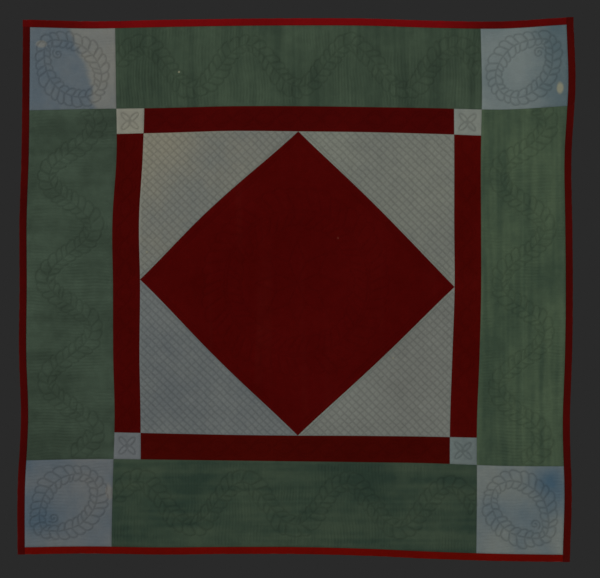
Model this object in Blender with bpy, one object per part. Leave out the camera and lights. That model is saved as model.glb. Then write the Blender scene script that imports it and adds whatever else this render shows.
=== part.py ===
"""A pieced centre-diamond quilt hung on a wall: the cloth top patches, the batting, the backing, the
binding and the two halves of the hanging sleeve, the round rod in the sleeve, and the three wall hooks
that the rod lies in. Metres, +Z up. The wall is the plane y = 0 and the quilt's front faces -Y. The
rod's axis is at z = 0, and x = 0 is the middle of the quilt and of the centre hook."""

import math

import bmesh
import bpy

for ob in list(bpy.data.objects):
    bpy.data.objects.remove(ob, do_unlink=True)

# The pattern, as cut and pieced. Widths are between seams, and the binding's is what shows in front.
BINDING_W = 0.026
BORDER_SIDE = 0.307
BORDER_TOP = 0.288
BORDER_BOTTOM = 0.313
STRIP_SIDE = 0.095
STRIP_ENDS = 0.091
CENTRE_W = 1.121
CENTRE_H = 1.082
DIAMOND_BOW = 0.0065  # how far the diamond's sides bulge, across and up, at their middles

# The layers.
CLOTH = 0.0008  # each layer of cloth
BATTING_T = 0.0025
GAP = 0.0003  # between pieces that are sewn or laid together
BACK_SEAM_X = 0.330  # the backing's two joins are this far either side of the middle
STEP = 0.030  # how closely the wandering edges are followed

# The rod and how the quilt hangs from it.
ROD_D = 0.030
ROD_PAST = 0.030  # the rod's end past the middle of the end hook
ROD_CLEAR = 0.008  # between the rod and a hook's plate
ROD_UNDER = 0.015  # the top of the rod under the binding's inner edge
QUILT_CLEAR = 0.007  # between the rod and the back of the backing
SLEEVE_INSET = 0.0935  # from the quilt's side edge to the sleeve's outer end
SLEEVE_SPLIT = 0.040  # from the middle to each sleeve's inner end
SLEEVE_BOTTOM = 0.074  # the tunnel's lowest point under the rod's axis
SLEEVE_TAB = 0.006  # the hem above and below the tunnel, where it is sewn to the backing
CAP_WALL = 0.003  # round the rod's end
CAP_L = 0.020
CAP_DEPTH = 0.010  # how far the rod goes into its cap

# The wall hooks.
HOOK_BESIDE = 0.030  # the end hook's middle past the sleeve's outer end
HOOK_W = 0.020
HOOK_T = 0.003
HOOK_LIP = 0.008  # the lip's top above the rod's axis
PLATE_W = 0.036
PLATE_UP = 0.032  # the plate's top above the rod's axis
PLATE_DOWN = 0.052
HOLE_D = 0.005
HOLE_HEAD_D = 0.0092
HOLE_UP = 0.022
HOLE_DOWN = 0.040

ROD_OUT = HOOK_T + ROD_CLEAR + ROD_D / 2  # the rod's axis from the wall
QUILT_OUT = ROD_D / 2 + QUILT_CLEAR  # the back of the backing in front of the rod's axis
ROD_DROP = ROD_D / 2 + ROD_UNDER + BINDING_W  # the quilt's top edge above the rod's axis
WIDTH = CENTRE_W + 2 * (STRIP_SIDE + BORDER_SIDE + BINDING_W)
HEIGHT = CENTRE_H + 2 * (STRIP_ENDS + BINDING_W) + BORDER_TOP + BORDER_BOTTOM
SLEEVE_END = WIDTH / 2 - SLEEVE_INSET
HOOK_X = SLEEVE_END + HOOK_BESIDE
ROD_L = 2 * (HOOK_X + ROD_PAST)
TOP = ROD_DROP
BOTTOM = TOP - HEIGHT

# The seam lines, left to right and top to bottom: edge, border, strip, centre, strip, border, edge.
U = (
    -WIDTH / 2,
    -CENTRE_W / 2 - STRIP_SIDE,
    -CENTRE_W / 2,
    CENTRE_W / 2,
    CENTRE_W / 2 + STRIP_SIDE,
    WIDTH / 2,
)
V = (
    TOP,
    TOP - BINDING_W - BORDER_TOP,
    TOP - BINDING_W - BORDER_TOP - STRIP_ENDS,
    BOTTOM + BINDING_W + BORDER_BOTTOM + STRIP_ENDS,
    BOTTOM + BINDING_W + BORDER_BOTTOM,
    BOTTOM,
)

# An old quilt's edges and seams aren't straight. These are millimetres that each line strays, to the
# right for the upright lines and up for the level ones, at nine even places from top to bottom or from
# left to right.
UPRIGHT_STRAY = (
    (12, 10, 7, 0, 0, -2, 5, -7, -7),
    (9, 12, 14, -1, 1, 2, 7, 0, -4),
    (17, 19, 13, -1, 3, 1, 5, 5, 3),
    (4, 4, 5, 5, 6, -2, -10, -11, -12),
    (4, 9, 5, 6, 6, 0, -9, -9, -11),
    (4, 11, -3, 0, 2, -1, -9, -2, -8),
)
LEVEL_STRAY = (
    (0, -6, -1, 3, 5, 4, -4, -6, 9),
    (-11, -6, -2, 4, 4, 1, -3, -8, 6),
    (-5, -5, 0, 7, 5, 2, -4, -12, -7),
    (16, 13, 8, 3, 0, -1, -4, -9, -12),
    (2, 7, 5, 2, -1, -4, -8, -17, -19),
    (5, 8, 4, 6, 6, 0, -11, -19, -23),
)
# How far each point of the diamond is along its side from the middle: top and bottom to the right,
# left and right up.
APEX_TOP, APEX_BOTTOM, APEX_LEFT, APEX_RIGHT = -0.002, 0.009, 0.013, -0.004


def along(values, t):
    """A smooth curve through evenly spaced values, at t from 0 to 1."""
    at = min(max(t, 0.0), 1.0) * (len(values) - 1)
    i = min(int(at), len(values) - 2)
    f = at - i
    a, b = values[max(i - 1, 0)], values[i]
    c, d = values[i + 1], values[min(i + 2, len(values) - 1)]
    return (
        b
        + 0.5 * f * (c - a)
        + f * f * (a - 2.5 * b + 2 * c - 0.5 * d)
        + f * f * f * (1.5 * (b - c) + 0.5 * (d - a))
    )


def between(lines, values, at):
    """values at the lines, straight between them."""
    low, high = (0, -1) if lines[0] < lines[-1] else (-1, 0)
    if at <= lines[low]:
        return values[low]
    if at >= lines[high]:
        return values[high]
    for i in range(len(lines) - 1):
        a, b = lines[i], lines[i + 1]
        if min(a, b) <= at <= max(a, b):
            return values[i] + (values[i + 1] - values[i]) * (at - a) / (b - a)


def place(u, v):
    """Where a point of the even pattern is on the quilt."""
    down, across = (TOP - v) / HEIGHT, (u - U[0]) / WIDTH
    x = u + 0.001 * between(U, [along(s, down) for s in UPRIGHT_STRAY], u)
    z = v + 0.001 * between(V, [along(s, across) for s in LEVEL_STRAY], v)
    p = u / (CENTRE_W / 2)
    q = (v - (V[2] + V[3]) / 2) / (CENTRE_H / 2)
    if abs(p) < 1 and abs(q) < 1:
        bow = DIAMOND_BOW * 16 * (1 - abs(p)) * (1 - abs(q))
        x += bow * p * abs(q)
        z += bow * q * abs(p)
    return x, z


def inset(corners, by):
    """A convex outline, anticlockwise, moved in on every side."""
    lines = []
    for (ax, ay), (bx, by_) in zip(corners, corners[1:] + corners[:1]):
        size = math.hypot(bx - ax, by_ - ay)
        nx, ny = -(by_ - ay) / size, (bx - ax) / size
        lines.append((nx, ny, nx * ax + ny * ay + by))
    found = []
    for (a, b, c), (d, e, f) in zip(lines[-1:] + lines[:-1], lines):
        det = a * e - b * d
        found.append(((c * e - b * f) / det, (a * f - c * d) / det))
    return found


def outline(corners):
    """The corners with the places between them where an edge is followed. The places are the same for
    the two edges of a seam, so that the gap between them stays even."""
    points = []
    for a, b in zip(corners, corners[1:] + corners[:1]):
        k = 0 if abs(b[0] - a[0]) >= abs(b[1] - a[1]) else 1
        low, high = sorted((a[k], b[k]))
        marks = [
            n * STEP
            for n in range(math.ceil(low / STEP), math.floor(high / STEP) + 1)
            if low + STEP / 5 < n * STEP < high - STEP / 5
        ]
        if b[k] < a[k]:
            marks.reverse()
        points.append(a)
        for m in marks:
            f = (m - a[k]) / (b[k] - a[k])
            points.append((a[0] + f * (b[0] - a[0]), a[1] + f * (b[1] - a[1])))
    return [place(*p) for p in points]


def make(name, bm):
    bmesh.ops.recalc_face_normals(bm, faces=bm.faces)
    mesh = bpy.data.meshes.new(name)
    bm.to_mesh(mesh)
    bm.free()
    ob = bpy.data.objects.new(name, mesh)
    bpy.context.scene.collection.objects.link(ob)
    return ob


def slab(name, points, y_front, y_back):
    """A flat sheet with this outline in x and z."""
    bm = bmesh.new()
    front = [bm.verts.new((x, y_front, z)) for x, z in points]
    back = [bm.verts.new((x, y_back, z)) for x, z in points]
    bm.faces.new(front)
    bm.faces.new(back[::-1])
    for i in range(len(points)):
        j = (i + 1) % len(points)
        bm.faces.new((front[j], front[i], back[i], back[j]))
    return make(name, bm)


def bar(name, points, x_low, x_high):
    """A straight bar along x with this section in y and z."""
    bm = bmesh.new()
    low = [bm.verts.new((x_low, y, z)) for y, z in points]
    high = [bm.verts.new((x_high, y, z)) for y, z in points]
    bm.faces.new(low)
    bm.faces.new(high[::-1])
    for i in range(len(points)):
        j = (i + 1) % len(points)
        bm.faces.new((low[j], low[i], high[i], high[j]))
    return make(name, bm)


def turned(name, profile, centre, axis, sides=48):
    """A solid of revolution: profile is (distance along the axis, radius), from end to end."""
    bm = bmesh.new()
    rings = []
    for s, r in profile:
        ring = []
        for i in range(sides if r > 0 else 1):
            a = 2 * math.pi * i / sides
            c, d = r * math.cos(a), r * math.sin(a)
            at = (s, c, d) if axis == "x" else (c, s, d)
            ring.append(bm.verts.new([o + p for o, p in zip(centre, at)]))
        rings.append(ring)
    for a, b in zip(rings, rings[1:]):
        for i in range(sides):
            j = (i + 1) % sides
            if len(a) == 1:
                bm.faces.new((a[0], b[i], b[j]))
            elif len(b) == 1:
                bm.faces.new((a[i], b[0], a[j]))
            else:
                bm.faces.new((a[i], b[i], b[j], a[j]))
    return make(name, bm)


def helper(ob):
    ob.hide_render = True
    ob.display_type = "WIRE"
    return ob


def combine(ob, other, how):
    m = ob.modifiers.new(how.lower() + "_" + other.name, "BOOLEAN")
    m.operation = how
    m.object = other
    m.solver = "EXACT"


def box(left, right, low, high):
    return [(left, low), (right, low), (right, high), (left, high)]


# From the back of the quilt to its front. y falls towards the viewer.
Y_BACKING = -(ROD_OUT + QUILT_OUT)
Y_BATTING = Y_BACKING - CLOTH - GAP
Y_TOP = Y_BATTING - BATTING_T - GAP
Y_FOLD_FRONT = Y_TOP - CLOTH - GAP  # the inside of the binding's two legs
Y_FOLD_BACK = Y_BACKING + GAP

# The top: what the binding hides of the outer patches is there too.
hidden = CLOTH + GAP / 2
left_x, strip_l, centre_l, centre_r, strip_r, right_x = U
left_x, right_x = left_x + hidden, right_x - hidden
top_z, strip_t, centre_t, centre_b, strip_b, bottom_z = V
top_z, bottom_z = top_z - hidden, bottom_z + hidden
mid_z = (centre_t + centre_b) / 2
apex_top, apex_bottom = (APEX_TOP, centre_t), (APEX_BOTTOM, centre_b)
apex_left, apex_right = (centre_l, mid_z + APEX_LEFT), (centre_r, mid_z + APEX_RIGHT)
PATCHES = {
    "centre_diamond": [apex_left, apex_bottom, apex_right, apex_top],
    "triangle_top_left": [(centre_l, centre_t), apex_left, apex_top],
    "triangle_top_right": [(centre_r, centre_t), apex_top, apex_right],
    "triangle_bottom_left": [(centre_l, centre_b), apex_bottom, apex_left],
    "triangle_bottom_right": [(centre_r, centre_b), apex_right, apex_bottom],
    "strip_top": box(centre_l, centre_r, centre_t, strip_t),
    "strip_bottom": box(centre_l, centre_r, strip_b, centre_b),
    "strip_left": box(strip_l, centre_l, centre_b, centre_t),
    "strip_right": box(centre_r, strip_r, centre_b, centre_t),
    "small_block_top_left": box(strip_l, centre_l, centre_t, strip_t),
    "small_block_top_right": box(centre_r, strip_r, centre_t, strip_t),
    "small_block_bottom_left": box(strip_l, centre_l, strip_b, centre_b),
    "small_block_bottom_right": box(centre_r, strip_r, strip_b, centre_b),
    "border_top": box(strip_l, strip_r, strip_t, top_z),
    "border_bottom": box(strip_l, strip_r, bottom_z, strip_b),
    "border_left": box(left_x, strip_l, strip_b, strip_t),
    "border_right": box(strip_r, right_x, strip_b, strip_t),
    "corner_block_top_left": box(left_x, strip_l, strip_t, top_z),
    "corner_block_top_right": box(strip_r, right_x, strip_t, top_z),
    "corner_block_bottom_left": box(left_x, strip_l, bottom_z, strip_b),
    "corner_block_bottom_right": box(strip_r, right_x, bottom_z, strip_b),
}
for name, corners in PATCHES.items():
    slab(name, outline(inset(corners, GAP / 2)), Y_TOP - CLOTH, Y_TOP)

# Under the top.
whole = inset(box(left_x, right_x, bottom_z, top_z), GAP / 2)
slab("batting", outline(whole), Y_BATTING - BATTING_T, Y_BATTING)
joins = (left_x, -BACK_SEAM_X, BACK_SEAM_X, right_x)
for side, a, b in zip(("left", "middle", "right"), joins, joins[1:]):
    panel = inset(box(a, b, bottom_z, top_z), GAP / 2)
    slab("backing_" + side, outline(panel), Y_BACKING - CLOTH, Y_BACKING)

# The binding, folded over the edges of all the layers. Its top strip runs out over the top left
# corner, its right strip over both right corners and its left strip over the bottom left corner.
low, high = inset(box(U[0], U[-1], V[-1], V[0]), CLOTH)[::2]
core = helper(
    slab("fold", outline(box(low[0], high[0], low[1], high[1])), Y_FOLD_FRONT, Y_FOLD_BACK)
)
in_l, in_r = U[0] + BINDING_W, U[-1] - BINDING_W
in_t, in_b = V[0] - BINDING_W, V[-1] + BINDING_W
STRIPS = {
    "binding_top": box(U[0], in_r - GAP, in_t, V[0]),
    "binding_right": box(in_r, U[-1], V[-1], V[0]),
    "binding_left": box(U[0], in_l, V[-1], in_t - GAP),
    "binding_bottom": box(in_l + GAP, in_r - GAP, V[-1], in_b),
}
for name, corners in STRIPS.items():
    strip = slab(name, outline(corners), Y_FOLD_FRONT - CLOTH, Y_FOLD_BACK + CLOTH)
    combine(strip, core, "DIFFERENCE")

# The sleeve, in two halves with a gap for the centre hook. Its front lies on the backing, and its back
# goes over the rod and down to the lower hem.
rod_r = ROD_D / 2
tunnel_r = rod_r + GAP
face = -(ROD_OUT + QUILT_OUT - GAP)  # sewn against the backing
inner = face + CLOTH
from_axis = inner + ROD_OUT
turn = math.atan2(-SLEEVE_BOTTOM, from_axis) + math.acos(
    tunnel_r / math.hypot(from_axis, SLEEVE_BOTTOM)
)


def over_rod(r, n=20):
    """From the top of the rod back and down to where the cloth leaves it."""
    return [
        (-ROD_OUT + r * math.cos(a), r * math.sin(a))
        for a in (math.pi / 2 + (turn - math.pi / 2) * i / n for i in range(n + 1))
    ]


outer_r = tunnel_r + CLOTH
foot = (outer_r - math.cos(turn) * from_axis) / math.sin(turn)
tunnel = [(inner, -SLEEVE_BOTTOM), (inner, tunnel_r), *over_rod(tunnel_r)]
skin = [
    (face, foot - SLEEVE_TAB),
    (face, outer_r + SLEEVE_TAB),
    (inner, outer_r + SLEEVE_TAB),
    (inner, outer_r),
    *over_rod(outer_r),
    (inner, foot),
    (inner, foot - SLEEVE_TAB),
]
for side, a, b in (
    ("left", -SLEEVE_END, -SLEEVE_SPLIT),
    ("right", SLEEVE_SPLIT, SLEEVE_END),
):
    sleeve = bar("sleeve_" + side, skin, a, b)
    hollow = helper(bar("tunnel_" + side, tunnel, a - CLOTH, b + CLOTH))
    combine(sleeve, hollow, "DIFFERENCE")

# The rod and its caps.
axis_at = (0, -ROD_OUT, 0)
bevel = 0.001
turned(
    "hanging_rod",
    [
        (-ROD_L / 2, 0),
        (-ROD_L / 2, rod_r - bevel),
        (-ROD_L / 2 + bevel, rod_r),
        (ROD_L / 2 - bevel, rod_r),
        (ROD_L / 2, rod_r - bevel),
        (ROD_L / 2, 0),
    ],
    axis_at,
    "x",
)
for side, sign in (("left", -1), ("right", 1)):
    mouth = ROD_L / 2 - CAP_DEPTH
    end = mouth + CAP_L
    cap_r, edge = rod_r + CAP_WALL, 0.003
    profile = [
        (ROD_L / 2 + GAP, 0),
        (ROD_L / 2 + GAP, tunnel_r),
        (mouth, tunnel_r),
        (mouth, cap_r - bevel),
        (mouth + bevel, cap_r),
    ]
    for i in range(6):
        a = math.pi / 2 * i / 5
        profile.append((end - edge + edge * math.sin(a), cap_r - edge + edge * math.cos(a)))
    profile.append((end, 0))
    turned("rod_cap_" + side, [(sign * s, r) for s, r in profile], axis_at, "x")

# The wall hooks: a flat plate with two countersunk screw holes, and a bent strap that the rod lies in.
cradle_r = rod_r + GAP
strap_r = cradle_r + HOOK_T
arc = [-math.pi / 2 - math.pi / 2 * i / 14 for i in range(15)]
front_end = [
    (-ROD_OUT - strap_r, HOOK_LIP - HOOK_T / 2),
    (-ROD_OUT - strap_r + HOOK_T * 0.15, HOOK_LIP - HOOK_T * 0.15),
    (-ROD_OUT - strap_r + HOOK_T / 2, HOOK_LIP),
    (-ROD_OUT - strap_r + HOOK_T * 0.85, HOOK_LIP - HOOK_T * 0.15),
    (-ROD_OUT - cradle_r, HOOK_LIP - HOOK_T / 2),
]
strap = [
    (-HOOK_T / 2, -strap_r),
    *[(-ROD_OUT + strap_r * math.cos(a), strap_r * math.sin(a)) for a in arc],
    *front_end,
    *[(-ROD_OUT + cradle_r * math.cos(a), cradle_r * math.sin(a)) for a in arc[::-1]],
    (-HOOK_T / 2, -cradle_r),
]
for side, x in (("left", -HOOK_X), ("centre", 0.0), ("right", HOOK_X)):
    hook = slab(
        "wall_hook_" + side,
        [
            (x + px, pz)
            for px, pz in inset(box(-PLATE_W / 2, PLATE_W / 2, -PLATE_DOWN, PLATE_UP), 0)
        ],
        -HOOK_T,
        0,
    )
    cradle = helper(bar("strap_" + side, strap, x - HOOK_W / 2, x + HOOK_W / 2))
    combine(hook, cradle, "UNION")
    for where, z in (("upper", HOLE_UP), ("lower", -HOLE_DOWN)):
        head = (HOLE_HEAD_D - HOLE_D) / 2
        hole = turned(
            f"hole_{side}_{where}",
            [
                (bevel, 0),
                (bevel, HOLE_D / 2),
                (-HOOK_T + head, HOLE_D / 2),
                (-HOOK_T - bevel, HOLE_HEAD_D / 2 + bevel),
                (-HOOK_T - bevel, 0),
            ],
            (x, 0, z),
            "y",
            sides=24,
        )
        combine(hook, helper(hole), "DIFFERENCE")
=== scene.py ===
"""The looks of a pieced centre-diamond quilt that hangs on a wall from a wooden rod.

Each patch is a thin closed shell with the quilting in its shape. The patches follow the outlines of the
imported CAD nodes, and the whole quilt shares one field of quilting lines and one drape, which comes from a
cloth simulation of it as one sheet. Metres, +Z up, and the quilt's front faces -Y."""

import math

import bpy
import numpy as np

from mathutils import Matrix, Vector


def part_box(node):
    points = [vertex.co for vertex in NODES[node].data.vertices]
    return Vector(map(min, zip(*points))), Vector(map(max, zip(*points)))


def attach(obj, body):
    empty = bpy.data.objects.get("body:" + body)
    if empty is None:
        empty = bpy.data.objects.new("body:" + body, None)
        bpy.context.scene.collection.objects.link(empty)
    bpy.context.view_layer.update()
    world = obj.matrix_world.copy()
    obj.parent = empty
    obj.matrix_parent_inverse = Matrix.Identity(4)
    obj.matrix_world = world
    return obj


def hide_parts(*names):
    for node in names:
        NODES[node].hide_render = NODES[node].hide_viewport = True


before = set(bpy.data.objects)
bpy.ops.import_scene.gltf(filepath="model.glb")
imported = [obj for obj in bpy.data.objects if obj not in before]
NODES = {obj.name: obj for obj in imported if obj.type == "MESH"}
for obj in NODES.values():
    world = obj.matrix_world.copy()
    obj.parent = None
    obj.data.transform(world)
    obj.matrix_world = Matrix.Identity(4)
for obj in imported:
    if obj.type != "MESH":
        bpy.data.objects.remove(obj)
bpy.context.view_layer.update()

# ---------------------------------------------------------------- sizes
CELL = 0.0016  # of the raster that holds the distance to the nearest quilting line
REACH = 0.010  # the longest distance it holds
FINE = 0.0023  # between a patch's points
FINEST = 0.0018  # the same in the small pale blocks
WIDEST = 0.0026  # the same in the centre
BACK_FINE = 0.0040  # between a backing panel's points
EVERY = 4  # a patch's hidden side has one point for this many
CLOTH = 0.0008  # the thickness of a layer of cloth
PUFF = 0.0018  # how far the batting lifts the top between the quilting lines
PUFF_BACK = 0.0011
LINE_WIDE = 0.0031  # the half width of the valley at a quilting line
FAINT = 0.0011  # a line that is pulled less tight counts as this much further away
FAINTEST = 0.0034  # and one that hardly shows
SEAM_WIDE = 0.0042
PUCKER, PUCKER_BORDER = 0.00048, 0.00085  # how high the fine puckers between the lines are
DRAPE_MOST = 0.0068  # how far the hanging quilt may stand out of flat
QUILT_MASS = 5.0  # kg, of the cloth and batting that hang from the sleeve
DRAPE_FROM, DRAPE_FULL = -0.10, -0.34  # it starts under the sleeve and is whole at this height
HATCH = 0.020  # between the lines of the triangles' cross-hatching
MEET = 0.00016  # each patch reaches this much past its CAD outline, so that seams close
RIM = 0.03  # the raster reaches this far past the batting
SEWN_STEP = 0.0018  # between the places that a sewn line is followed at
SWAY, SWAY_SIZE = 0.0014, 0.021  # how far a line sewn by hand sways, and over what length
SHEET_WIDE, SHEET_TALL = 56, 54  # the points of the simulated sheet, across and down
HANG_FRAMES = 70  # how long the simulation runs
PINNED_ABOVE = -0.085  # the sleeve holds the sheet over this height
FAILED = 0.2  # a simulated sheet further from flat than this isn't used
THREADY = 0.10  # how much lighter and darker single threads are


# ---------------------------------------------------------------- smooth fields
def weights(f):
    return (
        (1 - f) ** 3 / 6,
        (3 * f**3 - 6 * f**2 + 4) / 6,
        (-3 * f**3 + 3 * f**2 + 3 * f + 1) / 6,
        f**3 / 6,
    )


def spline(values, u, v):
    """A smooth surface over a grid of values, at u and v in its steps."""
    u = np.clip(u, 0, values.shape[0] - 1.001)
    v = np.clip(v, 0, values.shape[1] - 1.001)
    i, j = np.floor(u).astype(int), np.floor(v).astype(int)
    total = 0.0
    for a, wa in enumerate(weights(u - i)):
        row = np.clip(i + a - 1, 0, values.shape[0] - 1)
        for b, wb in enumerate(weights(v - j)):
            total = total + wa * wb * values[row, np.clip(j + b - 1, 0, values.shape[1] - 1)]
    return total


def noise(x, z, size, seed):
    """Smooth noise over the quilt, about -1 to 1, whose lumps are about this size."""
    size_x, size_z = size if isinstance(size, tuple) else (size, size)
    shape = int(2.4 / size_x) + 5, int(2.4 / size_z) + 5
    lattice = np.random.default_rng(seed).uniform(-1.7, 1.7, shape)
    return spline(lattice, (x + 1.15) / size_x + 1, (z + 2.0) / size_z + 1)


def smoothstep(low, high, v):
    t = np.clip((v - low) / (high - low), 0, 1)
    return t * t * (3 - 2 * t)


def bump(x, z, at, radius):
    """One at the point and falling to nothing round it. The radius may be two, across and up."""
    rx, rz = radius if isinstance(radius, tuple) else (radius, radius)
    return np.exp(-(((x - at[0]) / rx) ** 2) - ((z - at[1]) / rz) ** 2)


def lengths_along(points):
    """How far along a line each of its points is."""
    return np.concatenate([[0], np.cumsum(np.linalg.norm(np.diff(points, axis=0), axis=1))])


def unit(vectors):
    """Each vector at a length of one."""
    return vectors / np.linalg.norm(vectors, axis=-1)[..., None]


# ---------------------------------------------------------------- outlines of the CAD nodes
def front_loop(name):
    """The outline of a flat node's front, in x and z, anticlockwise seen from the front."""
    mesh = NODES[name].data
    co = np.array([v.co for v in mesh.vertices])
    key = [tuple(np.round(c, 6)) for c in co]
    front = co[:, 1].min() + 1e-5
    edges = set()
    for face in mesh.polygons:
        if face.normal.y > -0.99 or any(co[i, 1] > front for i in face.vertices):
            continue
        ring = [key[i] for i in face.vertices]
        edges.update(zip(ring, ring[1:] + ring[:1]))
    following = {a: b for a, b in edges if (b, a) not in edges}
    loop = [min(following)]
    while len(loop) < len(following):
        loop.append(following[loop[-1]])
    return np.array([(x, z) for x, _, z in loop])


def split_at_corners(loop, count):
    """The loop's sides as point lists, from one corner to the next."""
    before, after = loop - np.roll(loop, 1, 0), np.roll(loop, -1, 0) - loop
    turn = np.arctan2(
        before[:, 0] * after[:, 1] - before[:, 1] * after[:, 0], (before * after).sum(1)
    )
    corners = sorted(np.argsort(-np.abs(turn))[:count])
    sides = []
    for a, b in zip(corners, corners[1:] + corners[:1]):
        steps = (b - a) % len(loop)
        sides.append(loop[[(a + k) % len(loop) for k in range(steps + 1)]])
    return sides


def curve(points):
    """A function from 0..1 to places along the points, even in length."""
    far = lengths_along(points)
    share = far / far[-1]

    def at(t):
        return np.stack([np.interp(t, share, points[:, k]) for k in (0, 1)], -1)

    at.length = far[-1]
    return at


def four_sided(name, first=lambda p: p[0] + p[1]):
    """A patch's map from s, t in 0..1 to its place. first picks the corner at s, t = 0, 0."""
    sides = split_at_corners(front_loop(name), 4)
    start = min(range(4), key=lambda k: first(sides[k][0]))
    low, right, high, left = (curve(sides[(start + k) % 4]) for k in range(4))

    def place(s, t):
        s, t = np.broadcast_arrays(np.asarray(s, float), np.asarray(t, float))
        sk, tk = s[..., None], t[..., None]
        a, b, c, d = low(0.0), low(1.0), high(0.0), high(1.0)
        return (
            (1 - tk) * low(s)
            + tk * high(1 - s)
            + (1 - sk) * left(1 - t)
            + sk * right(t)
            - ((1 - sk) * (1 - tk) * a + sk * (1 - tk) * b + sk * tk * c + (1 - sk) * tk * d)
        )

    place.wide = (low.length + high.length) / 2
    place.tall = (left.length + right.length) / 2
    return place


def three_sided(name):
    """A triangle's map from shares a, b, c of its corners to its place."""
    sides = split_at_corners(front_loop(name), 3)
    curves = [curve(side) for side in sides]
    corners = [side[0] for side in sides]

    def place(a, b, c):
        share = (a, b, c)
        total = sum(share[k][..., None] * corners[k] for k in range(3))
        for k in range(3):
            p, q = share[k], share[(k + 1) % 3]
            both = np.maximum(p + q, 1e-9)
            u = q / both
            straight = corners[k] + u[..., None] * (corners[(k + 1) % 3] - corners[k])
            total = total + (p + q)[..., None] ** 2 * (curves[k](u) - straight)
        return total

    place.corners, place.lengths = corners, [c.length for c in curves]
    return place


SIDES = ("top_left", "top_right", "bottom_left", "bottom_right")
TRIANGLES = ["triangle_" + s for s in SIDES]
QUADS = (
    ["strip_" + s for s in ("top", "bottom", "left", "right")]
    + ["border_" + s for s in ("top", "bottom", "left", "right")]
    + ["small_block_" + s for s in SIDES]
    + ["corner_block_" + s for s in SIDES]
)
PLACES = {name: four_sided(name) for name in QUADS}
PLACES["centre_diamond"] = four_sided("centre_diamond", first=lambda p: p[1])
for name in TRIANGLES:
    PLACES[name] = three_sided(name)
BINDINGS = {
    name: four_sided("binding_" + name) for name in ("top", "right", "left", "bottom")
}
LOW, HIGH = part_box("batting")
MIDDLE = np.mean([PLACES["centre_diamond"](s, t) for s, t in ((0, 0), (1, 0), (1, 1), (0, 1))], 0)


def edge_line(name, s, t, axis):
    """Where the binding's inner edge is, as a function of the coordinate along it."""
    points = BINDINGS[name](s, t)
    points = points[np.argsort(points[:, axis])]
    return lambda v: np.interp(v, points[:, axis], points[:, 1 - axis])


along = np.linspace(0, 1, 120)
inner_top = edge_line("top", along, 0 * along, 0)
inner_bottom = edge_line("bottom", along, 0 * along + 1, 0)
inner_left = edge_line("left", 0 * along + 1, along, 1)
inner_right = edge_line("right", 0 * along, along, 1)


def inside(x, z):
    """How far in from the binding's inner edge. Negative under the binding."""
    across = np.minimum(x - inner_left(z), inner_right(z) - x)
    return np.minimum(across, np.minimum(inner_top(x) - z, z - inner_bottom(x)))


# ---------------------------------------------------------------- quilting lines
HAND = np.random.default_rng(17)  # what makes the lines look drawn and sewn by hand
lines = []  # each is an array of places
faint_lines = []  # these are pulled less tight
faintest_lines = []  # and these hardly at all
UNDER_BINDING = 0.025  # how much of an outer patch the binding hides


def closed(points):
    return np.vstack([points, points[:1]])


def ellipse(centre, rx, rz, turn=0.0, n=60):
    a = np.linspace(0, 2 * math.pi, n + 1)
    p, q = rx * np.cos(a), rz * np.sin(a)
    c, s = math.cos(turn), math.sin(turn)
    return np.stack([centre[0] + c * p - s * q, centre[1] + s * p + c * q], -1)


def feathers(spine, spacing, length, side, lean=0.5):
    """Round-ended feather lobes along one side of a line. length is a number, or one for each place."""
    far = lengths_along(spine)
    count = max(int(round(far[-1] / spacing)), 2)
    ahead = np.gradient(spine, axis=0)
    if np.allclose(spine[0], spine[-1]):
        ahead[0] = ahead[-1] = ahead[0] + ahead[-1]
    ahead = unit(ahead)
    marks = np.linspace(0, far[-1], count + 1)
    marks[1:-1] += far[-1] / count * 0.13 * HAND.standard_normal(count - 1).clip(-1.5, 1.5)
    base = np.stack([np.interp(marks, far, spine[:, k]) for k in (0, 1)], -1)
    run = np.stack([np.interp(marks, far, ahead[:, k]) for k in (0, 1)], -1)
    run = unit(run)
    out = np.stack([-run[:, 1], run[:, 0]], -1) * side * math.cos(lean) + run * math.sin(lean)
    reach = np.interp(marks, far, np.broadcast_to(length, far.shape))
    reach = reach * (1 + 0.14 * HAND.standard_normal(count + 1).clip(-1.5, 1.5))
    theta = np.linspace(0, math.pi, 9)
    made = []
    for k in range(count):
        tall = (reach[k] + reach[k + 1]) / 2
        cap = 0.55 * far[-1] / count
        low, high = base[k] + out[k] * (tall - cap), base[k + 1] + out[k + 1] * (tall - cap)
        middle, half = (low + high) / 2, (high - low) * 0.53
        away = out[k] + out[k + 1]
        away /= np.linalg.norm(away)
        end = middle - np.cos(theta)[:, None] * half + np.sin(theta)[:, None] * away * cap
        made.append(np.vstack([base[k], end, base[k + 1]]))
    return made


def mapped(name, shapes, wide, tall, toward=(0, 0)):
    """Lines drawn on an even patch, centred on what the binding doesn't hide of it, moved to where the
    real patch is. toward says which of its sides are under the binding."""
    place = PLACES[name]
    shift = -np.array(toward) * UNDER_BINDING / 2
    return [place((p[:, 0] + shift[0]) / wide + 0.5, (p[:, 1] + shift[1]) / tall + 0.5) for p in shapes]


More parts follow.
